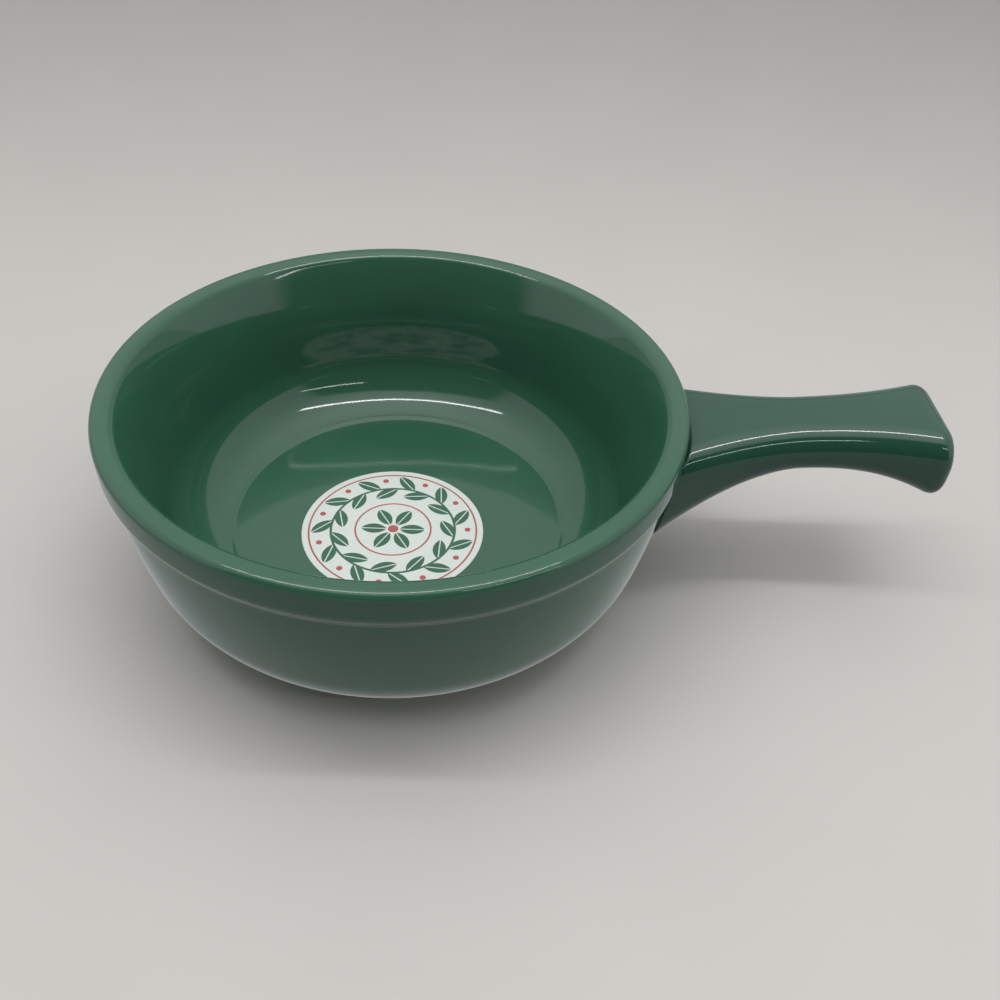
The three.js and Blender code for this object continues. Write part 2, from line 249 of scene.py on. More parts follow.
class StageSettings(bpy.types.PropertyGroup):
    """The studio: camera, paper and light"""

    camera_x: length("Camera X", "Camera's place along the handle", -14.4 * MM)
    camera_y: length("Camera Y", "Camera's place across the handle", -186.7 * MM)
    camera_z: length("Camera Z", "Camera's height over the table", 179.2 * MM)
    camera_turn: angle("Camera turn", "Turn of the camera about the upright", -2.83)
    camera_pitch: angle("Camera pitch", "How far the camera looks down", 40.99)
    camera_roll: angle("Camera roll", "Turn of the camera about its own line of sight", 3.99)
    camera_lens: amount("Camera lens", "Focal length in millimetres", 35.6)
    paper: colour("Paper", "Pale paper of floor and backdrop, as it is seen", "c3c1be")
    paper_bounce: colour("Paper bounce", "The paper as it throws soft light back", "a09e9b")
    paper_mirrored: colour("Mirrored paper", "The paper as gloss and glass mirror it", "bcc0c0")
    paper_evenness: amount("Paper evenness", "How far shadows are gone from the mirrored paper", 0.85)
    paper_back: length("Paper back", "How far behind the bowl the paper stands up", 0.34)
    paper_curve: length("Paper curve", "Radius of the paper's sweep", 0.16)
    paper_height: length("Paper height", "How high the paper stands up", 0.21)
    tent: colour("Tent", "Colour of the tent's light", "fffefd")
    overhead: amount("Overhead", "Light of the tent straight overhead, where it is brightest", 2.05)
    sides: amount("Sides", "Light of the tent's two sides near the table", 0.85)
    back: amount("Back", "Light of the tent's back near the table", 0.75)
    front: amount("Front", "Light from the tent's open front", 0.07)
    opening: angle("Opening", "From straight ahead to the edge of the tent's open front", 56.0)
    front_edge: angle("Front edge", "Height of the roof's front edge over the front horizon", 62.0)
    focus: amount("Focus", "How closely the tent's light gathers overhead", 6.0)
    edge: angle("Edge", "Softness of the tent's edges", 6.0)
    background: amount("Background", "Pale level that the view gets of the tent, 1 is white", 0.56)
    strip_distance: length("Strip distance", "Distance of the lamp strips from the rim", 0.45)
    top_strip: angle("Top strip", "Height of the upper lamp strip over the front horizon", 86.0)
    top_strip_length: length("Top strip length", "Length of the upper lamp strip", 0.6)
    top_strip_width: length("Top strip width", "Width of the upper lamp strip", 0.018)
    top_strip_power: amount("Top strip power", "Power of the upper lamp strip in watts", 0.8)
    front_strip: angle("Front strip", "Height of the front lamp strip over the front horizon", 45.0)
    front_strip_aside: length("Front strip aside", "How far the front strip is moved along +X", 0.36)
    front_strip_length: length("Front strip length", "Length of the front lamp strip", 0.4)
    front_strip_width: length("Front strip width", "Width of the front lamp strip", 0.012)
    front_strip_power: amount("Front strip power", "Power of the front lamp strip in watts", 0.2)


class SoupBowlSettings(bpy.types.PropertyGroup):
    """Everything that a user of the soup bowl can change"""

    bowl: bpy.props.PointerProperty(type=BowlSizes)
    handle: bpy.props.PointerProperty(type=HandleSizes)
    transfer: bpy.props.PointerProperty(type=TransferSizes)
    finish: bpy.props.PointerProperty(type=FinishColours)
    stage: bpy.props.PointerProperty(type=StageSettings)


def add_node(tree, kind, settings=None, inputs=None):
    """Adds a node with its settings; an input, by name or number, takes a value or a socket's link."""
    node = tree.nodes.new(kind)
    for name, value in (settings or {}).items():
        setattr(node, name, value)
    for name, value in (inputs or {}).items():
        if isinstance(value, bpy.types.NodeSocket):
            tree.links.new(value, node.inputs[name])
        else:
            node.inputs[name].default_value = value
    return node


def new_material(name):
    """An empty material, with its node tree and the place of a point in millimetres."""
    material = bpy.data.materials.new(name)
    material.use_nodes = True
    tree = material.node_tree
    tree.nodes.clear()
    place = add_node(tree, "ShaderNodeTexCoord").outputs["Object"]
    millimetres = add_node(
        tree, "ShaderNodeVectorMath", {"operation": "SCALE"}, {"Vector": place, "Scale": 1 / MM}
    ).outputs["Vector"]
    return material, tree, millimetres


def close_material(tree, shader):
    """Ends a material's tree with its shader."""
    add_node(tree, "ShaderNodeOutputMaterial", None, {"Surface": shader.outputs[0]})


def glaze_material(name, even, thick, pit, roughness):
    """Glossy coloured glaze over stoneware, dipped and fired.

    The eye gets a deep even green under a clear wet gloss, a faint roll in the reflections where the
    glaze ran, cloudy patches where it lies thicker, and here and there a pinhole.
    """
    # Patterns are sized in millimetres, and their heights in metres
    cloud_size = 26.0
    roll_size = 9.0
    roll_height = 0.12 * MM
    peel_size = 1.6
    peel_height = 0.01 * MM
    pit_spacing = 15.0
    pit_size = 0.34
    pit_sink = 0.1 * MM
    sheen_spread = 0.3
    material, tree, place = new_material(name)
    cloud = add_node(
        tree, "ShaderNodeTexNoise", None,
        {"Vector": place, "Scale": 1 / cloud_size, "Detail": 3.0, "Roughness": 0.55},
    )
    pits = add_node(
        tree, "ShaderNodeTexVoronoi", None, {"Vector": place, "Scale": 1 / pit_spacing},
    )
    # The Voronoi distance is in cells, so the pit's size is a share of the spacing
    pit_depth = add_node(
        tree, "ShaderNodeMapRange", {"interpolation_type": "SMOOTHSTEP"},
        {
            "Value": pits.outputs["Distance"], "From Min": 0.0, "From Max": pit_size / pit_spacing,
            "To Min": 1.0, "To Max": 0.0,
        },
    )
    clouded = add_node(
        tree, "ShaderNodeMix", {"data_type": "RGBA"},
        {"Factor": cloud.outputs["Fac"], "A": thick, "B": even},
    )
    pitted = add_node(
        tree, "ShaderNodeMix", {"data_type": "RGBA"},
        {"Factor": pit_depth.outputs["Result"], "A": clouded.outputs["Result"], "B": pit},
    )
    roll = add_node(
        tree, "ShaderNodeTexNoise", None,
        {"Vector": place, "Scale": 1 / roll_size, "Detail": 1.0, "Roughness": 0.4},
    )
    peel = add_node(
        tree, "ShaderNodeTexNoise", None,
        {"Vector": place, "Scale": 1 / peel_size, "Detail": 2.0, "Roughness": 0.5},
    )
    rolled = add_node(
        tree, "ShaderNodeBump", None,
        {"Height": roll.outputs["Fac"], "Strength": 0.25, "Distance": roll_height},
    )
    peeled = add_node(
        tree, "ShaderNodeBump", None,
        {
            "Height": peel.outputs["Fac"], "Strength": 0.2, "Distance": peel_height,
            "Normal": rolled.outputs["Normal"],
        },
    )
    sunk = add_node(
        tree, "ShaderNodeBump", {"invert": True},
        {
            "Height": pit_depth.outputs["Result"], "Strength": 0.6, "Distance": pit_sink,
            "Normal": peeled.outputs["Normal"],
        },
    )
    sheen = add_node(
        tree, "ShaderNodeMapRange", None,
        {
            "Value": cloud.outputs["Fac"], "To Min": roughness * (1 - sheen_spread),
            "To Max": roughness * (1 + sheen_spread),
        },
    )
    close_material(tree, add_node(
        tree, "ShaderNodeBsdfPrincipled", None,
        {
            "Base Color": pitted.outputs["Result"], "Roughness": sheen.outputs["Result"],
            "IOR": GLAZE_IOR, "Normal": sunk.outputs["Normal"],
        },
    ))
    return material


def clay_material(name, clay, grain, roughness):
    """Bare stoneware, wiped clean of glaze before firing.

    The eye gets a dull buff with fine darker grain and a sandy tooth.
    """
    grain_size = 0.7
    tooth_height = 0.06 * MM
    material, tree, place = new_material(name)
    speckle = add_node(
        tree, "ShaderNodeTexNoise", None,
        {"Vector": place, "Scale": 1 / grain_size, "Detail": 4.0, "Roughness": 0.6},
    )
    body = add_node(
        tree, "ShaderNodeMix", {"data_type": "RGBA"},
        {"Factor": speckle.outputs["Fac"], "A": grain, "B": clay},
    )
    tooth = add_node(
        tree, "ShaderNodeBump", None,
        {"Height": speckle.outputs["Fac"], "Strength": 0.5, "Distance": tooth_height},
    )
    close_material(tree, add_node(
        tree, "ShaderNodeBsdfPrincipled", None,
        {
            "Base Color": body.outputs["Result"], "Roughness": roughness,
            "Normal": tooth.outputs["Normal"],
        },
    ))
    return material


def print_material(name, full, thin, roughness):
    """Screen-printed ceramic ink, fired into the glaze.

    The eye gets a flat colour, a little thinner in cloudy specks, under a soft gloss.
    """
    speck_size = 0.9
    material, tree, place = new_material(name)
    speck = add_node(
        tree, "ShaderNodeTexNoise", None,
        {"Vector": place, "Scale": 1 / speck_size, "Detail": 3.0, "Roughness": 0.6},
    )
    ink = add_node(
        tree, "ShaderNodeMix", {"data_type": "RGBA"},
        {"Factor": speck.outputs["Fac"], "A": thin, "B": full},
    )
    close_material(tree, add_node(
        tree, "ShaderNodeBsdfPrincipled", None,
        {"Base Color": ink.outputs["Result"], "Roughness": roughness, "IOR": PRINT_IOR},
    ))
    return material


def paper_material(name, paper, bounce, mirrored, evenness):
    """Matt studio paper; seen from behind it lets the view through, so that it hides no side.

    The view gets the pale paper with its shadows, gloss and glass mirror it more evenly pale, and the
    light that it throws back is dimmer.
    """
    mottle_size = 50.0
    mottle_spread = 0.03
    material, tree, place = new_material(name)
    mottle = add_node(
        tree, "ShaderNodeTexNoise", None,
        {"Vector": place, "Scale": 1 / mottle_size, "Detail": 2.0},
    )
    shade = add_node(
        tree, "ShaderNodeMapRange", None,
        {"Value": mottle.outputs["Fac"], "To Min": 1 - mottle_spread, "To Max": 1 + mottle_spread},
    )
    path = add_node(tree, "ShaderNodeLightPath")
    by_gloss = add_node(
        tree, "ShaderNodeMath", {"operation": "MAXIMUM"},
        {0: path.outputs["Is Glossy Ray"], 1: path.outputs["Is Transmission Ray"]},
    )
    evened = add_node(
        tree, "ShaderNodeMath", {"operation": "MULTIPLY"}, {0: by_gloss.outputs["Value"], 1: evenness}
    )
    seen = add_node(
        tree, "ShaderNodeMix", {"data_type": "RGBA"},
        {"Factor": path.outputs["Is Camera Ray"], "A": bounce, "B": paper},
    )
    tone = add_node(
        tree, "ShaderNodeVectorMath", {"operation": "SCALE"},
        {"Vector": seen.outputs["Result"], "Scale": shade.outputs["Result"]},
    )
    matt = add_node(tree, "ShaderNodeBsdfDiffuse", None, {"Color": tone.outputs["Vector"]})
    even = add_node(tree, "ShaderNodeEmission", None, {"Color": mirrored})
    front = add_node(
        tree, "ShaderNodeMixShader", None,
        {0: evened.outputs["Value"], 1: matt.outputs["BSDF"], 2: even.outputs["Emission"]},
    )
    behind = add_node(tree, "ShaderNodeNewGeometry").outputs["Backfacing"]
    clear = add_node(tree, "ShaderNodeBsdfTransparent")
    close_material(tree, add_node(
        tree, "ShaderNodeMixShader", None,
        {0: behind, 1: front.outputs["Shader"], 2: clear.outputs["BSDF"]},
    ))
    return material


def open_mesh(name, add_primitive, **settings):
    """Adds a primitive as the only selected object and opens it for editing."""
    bpy.ops.object.select_all(action="DESELECT")
    add_primitive(**settings)
    made = bpy.context.active_object
    made.name = name
    made.data.name = name
    bpy.ops.object.mode_set(mode="EDIT")
    bpy.ops.mesh.select_all(action="SELECT")
    return made


def close_mesh(made, materials):
    """Merges doubles, turns the faces outwards, puts the place into the mesh and gives it materials."""
    bpy.ops.mesh.select_all(action="SELECT")
    bpy.ops.mesh.remove_doubles(threshold=MERGE_DISTANCE)
    bpy.ops.mesh.normals_make_consistent(inside=False)
    bpy.ops.object.mode_set(mode="OBJECT")
    bpy.ops.object.transform_apply(location=True, rotation=True, scale=True)
    bpy.ops.object.shade_smooth_by_angle(angle=SMOOTH_ANGLE)
    made.data.materials.clear()
    for material in materials:
        made.data.materials.append(material)


def select_vertices(test):
    """Selects the vertices of the mesh in edit mode whose place passes a test."""
    data = bpy.context.edit_object.data
    mesh = bmesh.from_edit_mesh(data)
    bpy.ops.mesh.select_all(action="DESELECT")
    for vertex in mesh.verts:
        vertex.select = test(vertex.co)
    mesh.select_flush_mode()
    bmesh.update_edit_mesh(data)


def settle(piece, slot, *nodes):
    """Ties a finished piece to the frame."""
    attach(piece, BODY)
    if nodes:
        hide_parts(*nodes)


def start_line(name, radius, height):
    """A mesh of one point in the profile's plane, open for editing and ready to be drawn on."""
    made = open_mesh(name, bpy.ops.mesh.primitive_plane_add, size=RIM_RADIUS)
    bpy.ops.mesh.merge(type="CENTER")
    bpy.ops.transform.translate(value=(AXIS_X + radius, 0, height))
    return made


def line_to(radius, height):
    """Extrudes the drawn line's end straight to a radius and a height."""
    mesh = bmesh.from_edit_mesh(bpy.context.edit_object.data)
    end = next(vertex.co for vertex in mesh.verts if vertex.select)
    step = Vector((AXIS_X + radius, 0, height)) - end
    bpy.ops.mesh.extrude_vertices_move(TRANSFORM_OT_translate={"value": step})


def arc_round(centre, start, end, steps):
    """Spins the drawn line's end round a centre, from one angle to another, both up from level."""
    bpy.ops.mesh.spin(
        steps=steps, angle=end - start, center=(AXIS_X + centre.x, 0, centre.y), axis=(0, 1, 0)
    )


def round_corner(radius, height, offset, steps):
    """Bevels the drawn line's corner at a radius and a height."""
    corner = Vector((AXIS_X + radius, 0, height))
    select_vertices(lambda place: (place - corner).length < MERGE_DISTANCE)
    bpy.ops.mesh.bevel(affect="VERTICES", offset=offset, segments=steps)


def bearing(centre, place):
    """Angle of a place seen from a centre, up from level."""
    return math.atan2(place.y - centre.y, place.x - centre.x)


class Outside:
    """Centres and radii of the arcs down the outside of the bowl, as radius and height."""

    def __init__(self, sizes):
        self.ledge = RIM_TOP - sizes.collar_height
        self.collar_round = sizes.collar_round
        self.collar = Vector((RIM_RADIUS - sizes.collar_round, self.ledge + sizes.collar_round))
        self.heel_radius = sizes.heel_radius
        self.heel_start = -sizes.lean_at_heel
        heel_height = sizes.heel_clear + sizes.heel_radius
        self.heel_top = heel_height - sizes.heel_radius * math.sin(sizes.lean_at_heel)
        slopes = math.sin(sizes.lean_at_heel) - math.sin(sizes.lean_at_collar)
        self.wall_radius = (self.ledge - self.heel_top) / slopes
        self.wall = Vector((
            RIM_RADIUS - sizes.collar_proud - self.wall_radius * math.cos(sizes.lean_at_collar),
            self.ledge + self.wall_radius * math.sin(sizes.lean_at_collar),
        ))
        inset = (self.wall_radius - sizes.heel_radius) * math.cos(sizes.lean_at_heel)
        self.heel = Vector((self.wall.x + inset, heel_height))
        # The hollow under the collar touches the collar's round and the wall
        self.hollow_radius = sizes.collar_hollow
        meetings = intersect_sphere_sphere_2d(
            self.collar, sizes.collar_round + sizes.collar_hollow,
            self.wall, self.wall_radius + sizes.collar_hollow,
        )
        self.hollow = min(meetings, key=lambda place: place.y)
        self.collar_end = bearing(self.collar, self.hollow)
        self.wall_start = bearing(self.wall, self.hollow)

    def radius_at(self, height):
        """Radius of the outside at a height between the heel and the rim."""
        turn = self.collar.y + self.collar_round * math.sin(self.collar_end)
        wall_top = self.wall.y + self.wall_radius * math.sin(self.wall_start)
        if height >= self.collar.y:
            return RIM_RADIUS
        if height >= turn:
            return self.collar.x + math.sqrt(self.collar_round ** 2 - (height - self.collar.y) ** 2)
        if height >= wall_top:
            return self.hollow.x - math.sqrt(self.hollow_radius ** 2 - (height - self.hollow.y) ** 2)
        if height >= self.heel_top:
            return self.wall.x + math.sqrt(self.wall_radius ** 2 - (height - self.wall.y) ** 2)
        return self.heel.x + math.sqrt(self.heel_radius ** 2 - (height - self.heel.y) ** 2)


def draw_inside(sizes):
    """Draws the inside of the bowl, from the floor's middle up to the rim's top."""
    lean = sizes.neck_lean
    lip_lean = sizes.lip_lean
    rim = Vector((
        RIM_RADIUS - sizes.rim_width + sizes.rim_inner_round, RIM_TOP - sizes.rim_inner_round
    ))
    lip = rim - sizes.rim_inner_round * Vector((math.cos(lip_lean), -math.sin(lip_lean)))
    # Over the neck the wall flares to the lip on one arc
    flare_radius = (lip.y - sizes.neck_height) / (math.sin(lip_lean) - math.sin(lean))
    flare = lip + flare_radius * Vector((math.cos(lip_lean), -math.sin(lip_lean)))
    flare.y = sizes.neck_height - flare_radius * math.sin(lean)
    neck = flare - flare_radius * Vector((math.cos(lean), -math.sin(lean)))
    # Under it the hollow's arc leaves the floor's step at its slope and touches the steep wall
    slope = sizes.hollow_slope
    edge = Vector((sizes.floor_radius + sizes.step_run, FLOOR_TOP + sizes.step_height))
    foot_of_wall = neck.x - (neck.y - edge.y) * math.tan(lean)
    out = math.cos(lean) - math.sin(slope)
    rise = math.cos(slope) - math.sin(lean)
    hollow_radius = (foot_of_wall - edge.x) / (out - rise * math.tan(lean))
    hollow = edge + hollow_radius * Vector((-math.sin(slope), math.cos(slope)))
    line_to(sizes.floor_radius, FLOOR_TOP)
    line_to(edge.x, edge.y)
    arc_round(hollow, slope - math.pi / 2, -lean, HOLLOW_STEPS)
    line_to(neck.x, neck.y)
    arc_round(flare, math.pi - lean, math.pi - lip_lean, FLARE_STEPS)
    arc_round(rim, math.pi - lip_lean, math.pi / 2, ROUND_STEPS)


def draw_outside(sizes):
    """Draws the outside of the bowl, from the rim's top down to the heel's end at the foot."""
    outside = Outside(sizes)
    rim = Vector((RIM_RADIUS - sizes.rim_outer_round, RIM_TOP - sizes.rim_outer_round))
    hollow_start = bearing(outside.hollow, outside.collar)
    hollow_end = bearing(outside.hollow, outside.wall) % math.tau
    heel_end = -math.acos((sizes.foot_radius - outside.heel.x) / outside.heel_radius)
    line_to(rim.x, RIM_TOP)
    arc_round(rim, math.pi / 2, 0, ROUND_STEPS)
    line_to(RIM_RADIUS, outside.collar.y)
    arc_round(outside.collar, 0, outside.collar_end, ROUND_STEPS)
    arc_round(outside.hollow, hollow_start, hollow_end, SMALL_ROUND_STEPS)
    arc_round(outside.wall, outside.wall_start, outside.heel_start, WALL_STEPS)
    arc_round(outside.heel, outside.heel_start, heel_end, HEEL_STEPS)
    return outside.heel.y + outside.heel_radius * math.sin(heel_end)


def draw_foot(sizes):
    """Draws the foot ring and the recess inside it, to the underside's middle."""
    inner = sizes.foot_radius - sizes.foot_width
    outer_round = Vector((sizes.foot_radius - sizes.foot_round, sizes.foot_round))
    inner_round = Vector((inner + sizes.foot_round, sizes.foot_round))
    line_to(sizes.foot_radius, sizes.foot_round)
    arc_round(outer_round, 0, -math.pi / 2, SMALL_ROUND_STEPS)
    line_to(inner_round.x, 0)
    arc_round(inner_round, -math.pi / 2, -math.pi, SMALL_ROUND_STEPS)
    line_to(inner, sizes.foot_recess)
    line_to(inner - sizes.foot_width, sizes.foot_recess)
    line_to(0, sizes.foot_recess)


class SOUPBOWL_OT_bowl_body(bpy.types.Operator):
    """Turns the bowl from its profile, glazes it and leaves the foot ring bare"""

    bl_idname = "soupbowl.bowl_body"
    bl_label = "Bowl Body"

    def execute(self, context):
        settings = context.scene.soup_bowl
        sizes = settings.bowl
        finish = settings.finish
        bowl = start_line("soup_bowl_body", 0, FLOOR_TOP)
        draw_inside(sizes)
        heel_end = draw_outside(sizes)
        draw_foot(sizes)
        round_corner(sizes.floor_radius, FLOOR_TOP, sizes.step_round, SMALL_ROUND_STEPS)
        round_corner(
            sizes.floor_radius + sizes.step_run, FLOOR_TOP + sizes.step_height, sizes.step_round,
            SMALL_ROUND_STEPS,
        )
        round_corner(sizes.foot_radius, heel_end, sizes.foot_fillet, SMALL_ROUND_STEPS)
        round_corner(
            sizes.foot_radius - sizes.foot_width, sizes.foot_recess, sizes.foot_fillet, SMALL_ROUND_STEPS
        )
        bpy.ops.mesh.select_all(action="SELECT")
        bpy.ops.mesh.spin(
            steps=TURN_STEPS, angle=math.tau, center=(AXIS_X, 0, 0), axis=(0, 0, 1)
        )
        glaze = glaze_material(
            "green_glazed_stoneware", finish.glaze, finish.glaze_thick, finish.glaze_pit,
            finish.glaze_roughness,
        )
        clay = clay_material(
            "bare_stoneware_foot", finish.clay, finish.clay_grain, finish.clay_roughness
        )
        close_mesh(bowl, [glaze, clay])
        for face in bowl.data.polygons:
            face.material_index = int(face.center.z < sizes.foot_round / 2)
        settle(bowl, "green_glazed_stoneware", "bowl_body")
        return {"FINISHED"}


class HandleForm:
    """The handle's cross-sections, each a rounded rectangle, and how its root follows the wall."""

    ring_size = CORNERS * (CORNER_STEPS + FLAT_STEPS)

    def __init__(self, settings):
        self.sizes = settings.handle
        self.outside = Outside(settings.bowl)

    def waisted(self, out, root, waist, tip, root_flare, tip_flare):
        """A smooth waist: one value at the rim's edge, one at the waist and one at the tip."""
        sizes = self.sizes
        if out < sizes.waist_out:
            return waist + (root - waist) * (1 - out / sizes.waist_out) ** root_flare
        along = (out - sizes.waist_out) / (HANDLE_LENGTH - sizes.waist_out)
        return waist + (tip - waist) * along ** tip_flare

    def drop(self, out):
        """Depth of the handle's top below the rim, a parabola through its three heights."""
        sizes = self.sizes
        first = (sizes.waist_drop - sizes.root_drop) / sizes.waist_out
        second = (sizes.tip_drop - sizes.waist_drop) / (HANDLE_LENGTH - sizes.waist_out)
        bend = (second - first) / HANDLE_LENGTH
        return sizes.root_drop + out * (first + bend * (out - sizes.waist_out))

    def corner(self, index, turn, half, top, bottom, below_round):
        """A point of one rounded corner, as Y and height; turn runs from 0 to 1 round it.

        Corners 0 and 1 are the upper ones, and corners 0 and 3 lie towards +Y.
        """
        top_round = self.sizes.top_round
        upper = index < 2
        wanted = top_round if upper else below_round
        share = wanted / (top_round + below_round)
        radius = min(wanted, half, (top - bottom) * share)
        side = 1 if index in (0, 3) else -1
        bend = (index + turn) * math.pi / 2
        centre = Vector((side * (half - radius), top - radius if upper else bottom + radius))
        return centre + radius * Vector((math.cos(bend), math.sin(bend)))

    def point(self, place, out, inset):
        """One of the ring's points, as Y and height, at a length out from the rim's edge."""
        sizes = self.sizes
        half = self.waisted(
            out, sizes.root_width, sizes.waist_width, sizes.tip_width,
            sizes.root_width_flare, sizes.tip_width_flare,
        ) / 2 - inset
        depth = self.waisted(
            out, sizes.root_depth, sizes.waist_depth, sizes.tip_depth,
            sizes.root_depth_flare, sizes.tip_depth_flare,
        )
        below_round = self.waisted(
            out, sizes.root_below_round, sizes.below_round, sizes.below_round,
            sizes.root_depth_flare, sizes.tip_depth_flare,
        )
        top = RIM_TOP - self.drop(out) - inset
        bottom = top - depth + 2 * inset
        section = (half, top, bottom, below_round)
        index, step = divmod(place, CORNER_STEPS + FLAT_STEPS)
        if step <= CORNER_STEPS:
            return self.corner(index, step / CORNER_STEPS, *section)
        end = self.corner(index, 1, *section)
        following = self.corner((index + 1) % CORNERS, 0, *section)
        return end.lerp(following, (step - CORNER_STEPS) / FLAT_STEPS)

    def wall_x(self, spot, gap):
        """Where the bowl's outside, grown by a gap, stands behind a point of a ring."""
        reach = self.outside.radius_at(spot.y) + gap
        return AXIS_X + math.sqrt(reach ** 2 - spot.x ** 2)

    def root_ring(self, gap, along, inset, shoulder):
        """A ring that follows the wall at a gap from it, or stands part of the way to the shoulder."""
        settling_rounds = 4
        ring = []
        for place in range(self.ring_size):
            x = RIM_EDGE_X
            for _ in range(settling_rounds):
                spot = self.point(place, x - RIM_EDGE_X, inset)
                x = self.wall_x(spot, gap) * (1 - along) + shoulder * along
            ring.append(Vector((x, spot.x, spot.y)))
        return ring

    def tip_ring(self, x, inset):
        """A flat ring near the tip, drawn in by an inset."""
        spots = [self.point(place, x - RIM_EDGE_X, inset) for place in range(self.ring_size)]
        return [Vector((x, spot.x, spot.y)) for spot in spots]

    def handle_rings(self):
        """Rings from the root's face, round its edge, along the handle and round the tip."""
        sizes = self.sizes
        shoulder = HANDLE_HIGH.x - sizes.tip_round
        rings = []
        for step in range(ROUND_STEPS):
            bend = step / ROUND_STEPS * math.pi / 2
            gap = sizes.joint + sizes.root_round * (1 - math.cos(bend))
            rings.append(self.root_ring(gap, 0, sizes.root_round * (1 - math.sin(bend)), shoulder))
        for station in range(HANDLE_STATIONS):
            gap = sizes.joint + sizes.root_round
            rings.append(self.root_ring(gap, station / HANDLE_STATIONS, 0, shoulder))
        for step in range(ROUND_STEPS + 1):
            bend = step / ROUND_STEPS * math.pi / 2
            x = shoulder + sizes.tip_round * math.sin(bend)
            rings.append(self.tip_ring(x, sizes.tip_round * (1 - math.cos(bend))))
        return rings

    def slip_rings(self):
        """Rings across the joint, from inside the wall's face to inside the root's, dipping between."""
        sizes = self.sizes
        shoulder = HANDLE_HIGH.x - sizes.tip_round
        rings = []
        for step in range(ROUND_STEPS + 1):
            across = step / ROUND_STEPS
            gap = (sizes.joint + 2 * sizes.slip_overlap) * across - sizes.slip_overlap
            inset = sizes.slip_setback + sizes.slip_hollow * math.sin(math.pi * across)
            rings.append(self.root_ring(gap, 0, inset, shoulder))
        return rings


def place_ring(places):
    """Moves the selected ring of vertices to its places, by each vertex's number in the ring."""
    data = bpy.context.edit_object.data
    mesh = bmesh.from_edit_mesh(data)
    number = mesh.verts.layers.int["ring_place"]
    for vertex in mesh.verts:
        if vertex.select:
            vertex.co = places[vertex[number]]
    bmesh.update_edit_mesh(data)


def skin(name, rings):
    """A closed skin: one ring extruded from place to place, with a face over each end."""
    made = open_mesh(
        name, bpy.ops.mesh.primitive_circle_add, vertices=len(rings[0]), radius=RIM_RADIUS
    )
    mesh = bmesh.from_edit_mesh(made.data)
    number = mesh.verts.layers.int.new("ring_place")
    for place, vertex in enumerate(mesh.verts):
        vertex[number] = place
    place_ring(rings[0])
    bpy.ops.mesh.edge_face_add()
    for ring in rings[1:]:
        bpy.ops.mesh.extrude_region_move(TRANSFORM_OT_translate={"value": (0, 0, 0)})
        place_ring(ring)
    return made


class SOUPBOWL_OT_handle(bpy.types.Operator):
    """Extrudes the stick handle from its root on the wall to its flared tip"""

    bl_idname = "soupbowl.handle"
    bl_label = "Handle"

    def execute(self, context):
        settings = context.scene.soup_bowl
        finish = settings.finish
        handle = skin("stick_handle", HandleForm(settings).handle_rings())
        # A darker copy of the bowl's glaze: painted shade on the handle, which takes less of the
        # overhead light
        painted_shade_glaze = glaze_material(
            "thick_green_glazed_stoneware", finish.handle_shaded_glaze, finish.handle_shaded_thick_glaze,
            finish.glaze_pit, finish.glaze_roughness,
        )
        close_mesh(handle, [painted_shade_glaze])
        settle(handle, "green_glazed_stoneware", "handle")
        return {"FINISHED"}


class SOUPBOWL_OT_slip_joint(bpy.types.Operator):
    """Fills the joint between the wall and the handle's root with slip"""

    bl_idname = "soupbowl.slip_joint"
    bl_label = "Slip Joint"

    def execute(self, context):
        settings = context.scene.soup_bowl
        finish = settings.finish
        slip = skin("handle_joining_slip", HandleForm(settings).slip_rings())
        pooled = glaze_material(
            "glazed_joining_slip", finish.joint_glaze, finish.joint_glaze_thick, finish.glaze_pit,
            finish.glaze_roughness,
        )
        close_mesh(slip, [pooled])
        settle(slip, "glazed_joining_slip", "handle_slip_joint")
        return {"FINISHED"}


def place_copies(name, pattern, places):
    """Joins copies of a printed shape, each with its own mesh, and removes the pattern."""
    copies = []
    for place in places:
        copy = pattern.copy()
        copy.data = pattern.data.copy()
        copy.matrix_world = place
        bpy.context.collection.objects.link(copy)
        copies.append(copy)
    bpy.data.objects.remove(pattern)
    bpy.ops.object.select_all(action="DESELECT")
    for copy in copies:
        copy.select_set(True)
    bpy.context.view_layer.objects.active = copies[0]
    bpy.ops.object.join()
    bpy.ops.object.transform_apply(location=True, rotation=True, scale=True)
    joined = bpy.context.active_object
    joined.name = name
    joined.data.name = name
    return joined


def leaf_pattern(leaf_length, leaf_width, vein, thickness, material):
    """A leaf along +X from the origin: two halves with a bare vein, each an arc closed by a line."""
    sagitta = (leaf_width - vein) / 2
    radius = ((leaf_length / 2) ** 2 + sagitta ** 2) / (2 * sagitta)
    sweep = 2 * math.asin(leaf_length / 2 / radius)
    leaf = open_mesh("leaf_pattern", bpy.ops.mesh.primitive_plane_add, size=leaf_length)
    bpy.ops.mesh.merge(type="CENTER")
    bpy.ops.transform.translate(value=(0, vein / 2, 0))
    bpy.ops.mesh.spin(
        steps=LEAF_STEPS, angle=sweep, axis=(0, 0, 1),
        center=(leaf_length / 2, vein / 2 + sagitta - radius, 0),
    )
    bpy.ops.mesh.select_all(action="SELECT")
    bpy.ops.mesh.edge_face_add()
    bpy.ops.mesh.duplicate()
    bpy.ops.transform.resize(value=(1, -1, 1), center_override=(0, 0, 0))
    bpy.ops.mesh.select_all(action="SELECT")
    bpy.ops.mesh.extrude_region_move(TRANSFORM_OT_translate={"value": (0, 0, thickness)})
    close_mesh(leaf, [material])
    return leaf


